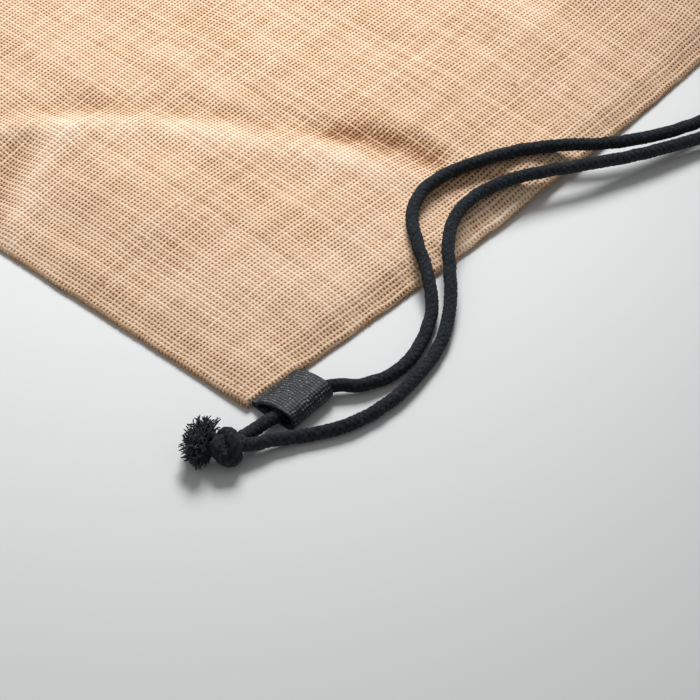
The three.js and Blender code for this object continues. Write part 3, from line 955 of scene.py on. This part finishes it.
def colourRamp(tree, factor, stops):
    ramp = addNode(tree, "ShaderNodeValToRGB", {"Fac": factor})
    points = ramp.color_ramp.elements
    while len(points) < len(stops):
        points.new(0.5)
    for point, (at, colour) in zip(points, stops):
        point.position = at
        point.color = hexColour(colour)
    return ramp


jute = {
    "leanYarn": 0.215,  # half a yarn's width where it is thinnest, as a share of the pitch
    "slubYarn": 0.23,  # how much a slub adds
    "slubLength": 0.13,  # how fast a yarn's own noise runs along it, so that its slubs come out long
    "crimp": 0.24,
    "drift": 0.3,  # how far yarns wander, in pitches
    "driftSize": 16 * mm,
    "cloudSize": 30 * mm,
    "fleckSize": 6 * mm,
    "fibreSize": 0.5 * mm,  # real fibres are a tenth of this, which would not show
    "relief": 0.38 * mm,
    "foldLightShade": 0.16,  # how much each cause adds to the tone, from dark holes to pale yarn; this one is the folds' painted light and shade
    "light": 0.56,
    "yarnTone": 0.48,
    "clouds": 0.26,
    "fibres": 0.2,
    "darker": 0.345,
    # the darkest stops, where the painted shade of holes and hollows lands, are warm brown as painted bounce
    # light between the yarns
    "stops": [(0.0, "5c3418"), (0.14, "905f3c"), (0.32, "c69770"), (0.55, "e5c19e"), (0.78, "f5d4b5"),
              (1.0, "fdead4")],
    "fleck": "a65c30",
}


# Hessian: coarse jute yarn in an open plain weave, loom-state and unfinished. It gives the eye pale round
# yarns with slubs, small dark holes between them, and no gloss; the yarns' own height is painted as light and
# shade, so tops are paler and the holes and dips are painted shade.
def wovenJute(name):
    material, tree, shader = newMaterial(name)
    uv = addNode(tree, "ShaderNodeUVMap", uv_map="weave")
    cells = addNode(tree, "ShaderNodeVectorMath", {0: uv, "Scale": 1 / bag["weavePitch"]}, operation="SCALE")
    wander = addNode(tree, noise, {"Vector": uv, "Scale": 1 / jute["driftSize"], "Detail": 3.0})
    centred = addNode(tree, "ShaderNodeVectorMath", {0: wander.outputs["Color"], 1: (0.5, 0.5, 0.5)},
                      operation="SUBTRACT")
    moved = addNode(tree, "ShaderNodeVectorMath", {0: centred, "Scale": 2 * jute["drift"]}, operation="SCALE")
    place = addNode(tree, "ShaderNodeVectorMath", {0: cells, 1: moved}, operation="ADD")
    split = addNode(tree, "ShaderNodeSeparateXYZ", {0: place})
    heights, tones = [], []
    for across, along, side in (("X", "Y", 1.0), ("Y", "X", -1.0)):
        across, along = split.outputs[across], split.outputs[along]
        index = calc(tree, "FLOOR", across)
        key = calc(tree, "MULTIPLY_ADD", index, 3.7, 11.3 * side)
        stretched = calc(tree, "MULTIPLY", along, jute["slubLength"])
        spot = addNode(tree, "ShaderNodeCombineXYZ", {0: key, 1: stretched})
        slub = addNode(tree, noise, {"Vector": spot, "Scale": 1.0, "Detail": 3.0})
        yarnTone = addNode(tree, "ShaderNodeTexWhiteNoise", {"W": key}, noise_dimensions="1D")
        half = calc(tree, "MULTIPLY_ADD", slub, jute["slubYarn"], jute["leanYarn"])
        part = calc(tree, "FRACT", across)
        off = calc(tree, "SUBTRACT", part, 0.5)
        ratio = calc(tree, "DIVIDE", off, half)
        square = calc(tree, "MULTIPLY", ratio, ratio)
        inside = calc(tree, "SUBTRACT", 1.0, square, clamped=True)
        roundness = calc(tree, "SQRT", inside)
        turn = calc(tree, "MULTIPLY", across, math.pi)
        wave = calc(tree, "SINE", turn)
        parity = calc(tree, "SIGN", wave)
        turn = calc(tree, "MULTIPLY", along, math.pi)
        wave = calc(tree, "SINE", turn)
        over = calc(tree, "MULTIPLY", wave, parity)
        lift = calc(tree, "MULTIPLY_ADD", over, jute["crimp"] * side, 1 - jute["crimp"])
        heights.append(calc(tree, "MULTIPLY", roundness, lift))
        both = calc(tree, "ADD", yarnTone, slub)
        tones.append(calc(tree, "MULTIPLY", both, 0.5))
    top = calc(tree, "MAXIMUM", heights[0], heights[1])
    isFirst = calc(tree, "GREATER_THAN", heights[0], heights[1])
    tone = addNode(tree, "ShaderNodeMix", {0: isFirst, 2: tones[1], 3: tones[0]}, data_type="FLOAT")
    # the folds' painted light and shade: lighter on crests, darker in hollows
    foldLightShade = addNode(tree, "ShaderNodeAttribute", attribute_name="pale")
    patch = addNode(tree, noise, {"Vector": uv, "Scale": 1 / jute["cloudSize"], "Detail": 4.0})
    fibre = addNode(tree, noise, {"Vector": uv, "Scale": 1 / jute["fibreSize"], "Detail": 3.0})
    # the yarns' height painted as light and shade: paler tops, painted shade in the holes and where a yarn
    # dips under its crossing
    factor = addNode(tree, remap, {0: top, 1: 0.0, 2: 0.85, 3: 0.0, 4: jute["light"]})
    causes = {"foldLightShade": foldLightShade.outputs["Fac"], "yarnTone": tone, "clouds": patch, "fibres": fibre}
    for cause, value in causes.items():
        factor = calc(tree, "MULTIPLY_ADD", value, jute[cause], factor)
    lowered = calc(tree, "SUBTRACT", factor, jute["darker"], clamped=True)
    ramp = colourRamp(tree, lowered, jute["stops"])
    speck = addNode(tree, noise, {"Vector": uv, "Scale": 1 / jute["fleckSize"], "Detail": 1.0})
    rare = addNode(tree, remap, {0: speck, 1: 0.72, 2: 0.8, 3: 0.0, 4: 0.5})
    colour = addNode(tree, "ShaderNodeMix", {0: rare, 6: ramp, 7: hexColour(jute["fleck"])}, data_type="RGBA")
    tree.links.new(colour.outputs[2], shader.inputs["Base Color"])
    rough = calc(tree, "MULTIPLY_ADD", fibre, 0.15, top)
    finishLook(tree, shader, rough, jute["relief"], 1.0,
               {"Roughness": 0.9, "Specular IOR Level": 0.2, "Sheen Weight": 0.08})
    return material


sewingThread = {
    "fibreSize": 0.6 * mm,  # coarser than the real fibres, so that it shows
    "relief": 0.15 * mm,
    "stops": [(0.25, "9b6c42"), (0.5, "cfa277"), (0.75, "efd0a8")],
}


# Jute yarn and sewing thread, twisted: paler and smoother than the cloth, still without gloss.
def juteThread():
    material, tree, shader = newMaterial("jute_thread_twisted")
    place = addNode(tree, "ShaderNodeTexCoord")
    grain = addNode(tree, noise, {"Vector": place.outputs["Object"], "Scale": 1 / sewingThread["fibreSize"],
                                  "Detail": 3.0})
    ramp = colourRamp(tree, grain, sewingThread["stops"])
    tree.links.new(ramp.outputs[0], shader.inputs["Base Color"])
    finishLook(tree, shader, grain, sewingThread["relief"], 0.8, {"Roughness": 0.8})
    return material


cotton = {
    "fibreSize": 0.4 * mm,  # coarser than the real fibres, so that it shows
    "tuftSize": 1.7 * mm,
    "wornSize": 12 * mm,
    "relief": 0.2 * mm,
    "braid": [(0.15, "07080a"), (0.4, "15181b"), (0.6, "25292d"), (0.85, "42474b")],
    "braidSheen": 0.1,
    # the frayed yarns are painted lighter than the braid: painted light that makes up for the shade the dense
    # yarns cast on one another
    "fray": [(0.1, "2a2f32"), (0.4, "434a4f"), (0.8, "626a70")],
    "fraySheen": 0.05,
    "down": "9da3a8",
}


# Soft cotton, dyed black and unglazed: dull all over, with grey down on top of the ribs; the ribs are also
# painted lighter and the grooves between them darker, as painted light and shade.
def blackCotton(name, stops, sheen):
    material, tree, shader = newMaterial(name)
    place = addNode(tree, "ShaderNodeTexCoord")
    rib = addNode(tree, "ShaderNodeAttribute", attribute_name="rib")
    fibre, tuft, worn = (
        addNode(tree, noise, {"Vector": place.outputs["Object"], "Scale": 1 / cotton[size], "Detail": detail})
        for size, detail in (("fibreSize", 4.0), ("tuftSize", 3.0), ("wornSize", 2.0)))
    # the braid's relief painted as light and shade: ribs lighter, grooves darker
    ribbed = calc(tree, "MULTIPLY_ADD", rib.outputs["Fac"], 0.36, -0.24)
    downy = calc(tree, "MULTIPLY_ADD", fibre, 0.45, ribbed)
    tufted = calc(tree, "MULTIPLY_ADD", tuft, 0.45, downy)
    factor = calc(tree, "MULTIPLY_ADD", worn, 0.2, tufted)
    ramp = colourRamp(tree, factor, stops)
    tree.links.new(ramp.outputs[0], shader.inputs["Base Color"])
    finishLook(tree, shader, fibre, cotton["relief"], 0.8, {
        "Roughness": 0.95, "Specular IOR Level": 0.15, "Sheen Weight": sheen, "Sheen Roughness": 0.6,
        "Sheen Tint": hexColour(cotton["down"])})
    return material


webbing = {
    "fibreSize": 0.7 * mm,  # coarser than the real fibres, so that it shows
    "relief": 0.15 * mm,
    "stops": [(0.15, "06080a"), (0.45, "14171a"), (0.68, "272c30"), (0.88, "5c6165"), (1.0, "83878b")],
}


# Spun polyester webbing, plain woven and dyed black: broken grey glints painted on top of the yarns, and
# painted shade in the deep gaps.
def blackWebbing():
    material, tree, shader = newMaterial("black_webbing_plain_woven")
    rib = addNode(tree, "ShaderNodeAttribute", attribute_name="rib")
    uv = addNode(tree, "ShaderNodeUVMap", uv_map="weave")
    fibre = addNode(tree, noise, {"Vector": uv, "Scale": 1 / webbing["fibreSize"], "Detail": 3.0})
    size = (tab["pitch"][0], tab["pitch"][1], 1.0)
    crossing = addNode(tree, "ShaderNodeVectorMath", {0: uv, 1: size}, operation="DIVIDE")
    number = addNode(tree, "ShaderNodeVectorMath", {0: crossing}, operation="FLOOR")
    ownTone = addNode(tree, "ShaderNodeTexWhiteNoise", {"Vector": number}, noise_dimensions="3D")
    broken = calc(tree, "MULTIPLY_ADD", fibre, 1.3, -0.86)
    patchy = calc(tree, "MULTIPLY_ADD", ownTone, 0.32, broken)
    # the weave's height painted as light and shade: glints on the yarn tops, shade in the gaps
    factor = calc(tree, "MULTIPLY_ADD", rib.outputs["Fac"], 0.9, patchy)
    ramp = colourRamp(tree, factor, webbing["stops"])
    tree.links.new(ramp.outputs[0], shader.inputs["Base Color"])
    finishLook(tree, shader, fibre, webbing["relief"], 0.8, {"Roughness": 0.6, "Specular IOR Level": 0.4})
    return material


looks = {
    "jute_cloth": wovenJute("jute_hessian_plain_woven"),
    "jute_thread": juteThread(),
    "black_webbing": blackWebbing(),
    "black_cord": blackCotton("black_cotton_braided", cotton["braid"], cotton["braidSheen"]),
    "cord_yarn": blackCotton("black_cotton_frayed", cotton["fray"], cotton["fraySheen"]),
}
print("materials:", ", ".join(m.name for m in looks.values()))


def finishPiece(piece, slot, replaced, look=None):
    piece.data.materials.clear()
    piece.data.materials.append(looks[look or slot])
    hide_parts(*replaced)
    return piece


stitch = {
    "hem": {"Spacing": 4.4 * mm, "Length": 3.6 * mm, "Width": 0.85 * mm, "Height": 0.7 * mm, "Uneven": 0.1},
    "seam": {"Spacing": 4.0 * mm, "Length": 2.6 * mm, "Width": 0.7 * mm, "Height": 0.8 * mm, "Uneven": 0.15},
    "yarn": {"Spacing": bag["weavePitch"], "Length": 1.3 * mm, "Width": 0.9 * mm, "Height": 1.1 * mm,
             "Uneven": 0.28},
    "hemLevel": 3.0 * mm,
    "hemEnd": 3 * mm,  # left bare at the casing's ends
    "hemGap": 0.3 * mm,  # half the gap between the front hem's two rows
    "seamLevel": 1.6 * mm,
    "seamOut": -0.7 * mm,
    "edgeLevel": {"front": 2.05 * mm, "back": 0.85 * mm},
    "edgeOut": {"front": -0.3 * mm, "back": -0.25 * mm},
    "bottomOut": -0.3 * mm,
    "cornerGap": {"side": 3 * mm, "bottom": 2.5 * mm},  # between a row and the corner
    "guideStep": 2 * mm,
}
rows, brush = rowTree(), brushTree()


def row(name, points, kind, slot, seed):
    edges = [(i, i + 1) for i in range(len(points) - 1)]
    values = {**stitch[kind], "Seed": seed, "Material": looks[slot]}
    return grown(name, rows, points, edges, [], values)


def edgeLine(side, z, out, low=bottomY + stitch["cornerGap"]["side"], high=casingY):
    y = np.arange(low, high, stitch["guideStep"])
    x = (1 if side == "right" else -1) * (sideEdge(y) + out)
    start, length = clothMaking["edgeRise"]
    rise = smooth((y - start) / length) * (bag["mouthUnderside"] - z) * (z > bag["pressedEdge"] / 2)
    return np.stack([x, y, z + edgeLift(x, y) + rise], axis=1)


def bottomLine(z, out):
    half = bag["width"] / 2 - stitch["cornerGap"]["bottom"]
    x = np.arange(-half, half, stitch["guideStep"])
    return np.stack([x, np.full(len(x), bottomY - out), np.full(len(x), z)], axis=1)


def buildRows():
    made = {}
    y = casingY + casing["stitchAt"]
    half, gap = casingHalf - stitch["hemEnd"], stitch["hemGap"]
    frontZ, backZ = frontCasingZ + stitch["hemLevel"], stitch["hemLevel"]
    hems = (("front_hem_stitches_left", -half, -gap, frontZ, 3),
            ("front_hem_stitches_right", gap, half, frontZ, 3),
            ("back_hem_stitches", -half, half, backZ, 4))
    for name, start, end, z, seed in hems:
        line = [(x, y, z) for x in np.arange(start, end, stitch["guideStep"])]
        made[name] = row(name, line, "hem", "jute_thread", seed)
    for side in ("right", "left"):
        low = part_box(f"{side}_side_seam_thread")[0].y
        line = edgeLine(side, stitch["seamLevel"], stitch["seamOut"], low, bag["seamTop"])
        made[f"{side}_seam_stitches"] = row(f"{side}_seam_stitches", line, "seam", "jute_thread", 6)
    line = bottomLine(stitch["seamLevel"], stitch["seamOut"])
    made["bottom_seam_stitches"] = row("bottom_seam_stitches", line, "seam", "jute_thread", 7)
    for side in ("right", "left"):
        for level, z in stitch["edgeLevel"].items():
            name = f"{side}_{level}_edge_yarns"
            line = edgeLine(side, z, stitch["edgeOut"][level])
            made[name] = row(name, line, "yarn", "jute_thread", 11)
    for level, z in stitch["edgeLevel"].items():
        name = f"bottom_{level}_edge_yarns"
        made[name] = row(name, bottomLine(z, stitch["bottomOut"]), "yarn", "jute_thread", 13)
    return made


rowsMade = buildRows()
print("stitches and edge yarns:", len(rowsMade), "rows")


# the yarns stand on the rounded ends of the two cut cords
def buildFray(side):
    centre, along, across = knotFrame(side)
    up = np.array([0, 0, 1.0])
    rings, around = fray["rings"], fray["around"]
    points, faces = [], []
    for number in (-1, 1):
        base = len(points)
        middle = centre + along * fray["from"] + across * number * fray["apart"]
        for i in range(rings + 1):
            tilt = math.radians(fray["openness"]) * i / rings + 0.05
            for j in range(around):
                angle = 2 * math.pi * j / around
                ring = across * math.cos(angle) + up * math.sin(angle)
                points.append(middle + fray["core"] * (along * math.cos(tilt) + ring * math.sin(tilt)))
        for i in range(rings):
            for j in range(around):
                a, b = base + i * around + j, base + i * around + (j + 1) % around
                faces.append((a, a + around, b + around, b))
    area = 4 * math.pi * fray["core"] ** 2
    values = {"Yarns": fray["yarns"] / area, "Length": fray["length"], "Thickness": fray["thickness"],
              "Bend": fray["bend"], "Seed": fray["seeds"][side], "Material": looks["cord_yarn"]}
    piece = grown(f"{side}_frayed_yarns", brush, points, [], faces, values)
    flat = np.zeros(len(piece.data.vertices) * 3, np.float32)
    piece.data.vertices.foreach_get("co", flat)
    co = flat.reshape(-1, 3)
    co[:, 2] = np.maximum(centre[2] + (co[:, 2] - centre[2]) * fray["flatten"], fray["ground"])
    piece.data.vertices.foreach_set("co", co.ravel())
    piece.data.update()
    return piece


frays = {side: buildFray(side) for side in ("right", "left")}
print("frayed ends:", ", ".join(str(len(f.data.polygons)) for f in frays.values()), "faces")


def buildRuns():
    made = {}
    for side, sign in (("right", 1), ("left", -1)):
        y = cords["runY"][side]
        # the front run is drawn in halves
        stretches = (("front_run_left", -casingHalf, 0.0), ("front_run_right", 0.0, casingHalf),
                     ("back_run", -casingHalf, casingHalf))
        for word, a, b in stretches:
            z = cords["runZ"][word.split("_")[0]]
            line = np.array([(x, y, z) for x in np.linspace(a, b, round((b - a) / cords["runStep"]))])
            name = f"{side}_cord_{word}_braid"
            made[name] = braidedTube(name, line, sides=cords["runSides"])
        radius = (cords["runZ"]["front"] - cords["runZ"]["back"]) / 2
        start = -sign * (casingHalf + cords["gap"])
        turnX = start - sign * cords["bightLead"]
        angle = np.linspace(np.pi / 2, -np.pi / 2, cords["bightSteps"])
        arc = np.stack([turnX - sign * radius * np.cos(angle), np.full(len(angle), y),
                        cords["runZ"]["back"] + radius * (1 + np.sin(angle))], axis=1)
        points = np.vstack([[(start, y, cords["runZ"]["front"])], arc, [(start, y, cords["runZ"]["back"])]])
        along = lengthsAlong(points)
        at = np.linspace(0, along[-1], round(along[-1] / cords["ringStep"]))
        line = np.stack([np.interp(at, along, points[:, k]) for k in range(3)], axis=1)
        made[f"{side}_cord_bight_braid"] = braidedTube(f"{side}_cord_bight_braid", line)
    return made


runs = buildRuns()
print("cord runs and bights:", len(runs))


def archBlend(piece):
    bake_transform(piece)


def assemble():
    for side in ("left", "right"):
        panel = finishPiece(cloth[f"front_panel_{side}_cloth"], "jute_cloth", ["front_panel"])
        hem = finishPiece(cloth[f"front_casing_{side}_cloth"], "jute_cloth", ["front_casing"])
        sewn = finishPiece(rowsMade[f"front_hem_stitches_{side}"], "jute_thread", ["front_casing_thread"])
        for piece in (panel, hem, sewn):
            archBlend(piece)
    back = finishPiece(cloth["back_panel_cloth"], "jute_cloth", ["back_panel"])
    hem = finishPiece(cloth["back_casing_cloth"], "jute_cloth", ["back_casing"])
    riders = [back, hem, finishPiece(rowsMade["back_hem_stitches"], "jute_thread", ["back_casing_thread"])]
    for side in ("right", "left"):
        allowed = f"{side}_side_seam_allowance"
        fold = finishPiece(cloth[f"{allowed}_fold"], "jute_cloth", [allowed])
        riders.append(fold)
        sewn = f"{side}_side_seam_thread"
        riders.append(finishPiece(rowsMade[f"{side}_seam_stitches"], "jute_thread", [sewn]))
        riders.append(finishPiece(tabs[side], "black_webbing", [f"{side}_tab"]))
        for level in ("front", "back"):
            yarns = rowsMade[f"{side}_{level}_edge_yarns"]
            riders.append(finishPiece(yarns, "jute_cloth", [f"{level}_panel"], "jute_thread"))
    fold = finishPiece(cloth["bottom_seam_allowance_fold"], "jute_cloth", ["bottom_seam_allowance"])
    riders.append(fold)
    riders.append(finishPiece(rowsMade["bottom_seam_stitches"], "jute_thread", ["bottom_seam_thread"]))
    for level in ("front", "back"):
        yarns = rowsMade[f"bottom_{level}_edge_yarns"]
        riders.append(finishPiece(yarns, "jute_cloth", [f"{level}_panel"], "jute_thread"))
    for piece in riders:
        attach(piece, "bag")
    for side in ("right", "left"):
        for level in ("front", "back"):
            for name in [n for n in runs if n.startswith(f"{side}_cord_{level}_run")]:
                run = finishPiece(runs[name], "black_cord", [f"{side}_cord_{level}_run"])
                if level == "front":
                    archBlend(run)
                else:
                    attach(run, "bag")  # hidden in its casing, where a sliding cord looks the same
        bight = finishPiece(runs[f"{side}_cord_bight_braid"], "black_cord", [f"{side}_cord_bight"])
        # the bight is drawn up against the casings, and never into them
        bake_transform(bight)
        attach(finishPiece(knots[side], "black_cord", [f"{side}_knot"]), f"{side}_cord_end")
        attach(finishPiece(frays[side], "cord_yarn", [f"{side}_frayed_ends"]), f"{side}_cord_end")
    for name, piece in strands.items():
        finishPiece(piece, "black_cord", [name])
        side = name.split("_")[0]
        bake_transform(piece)


assemble()
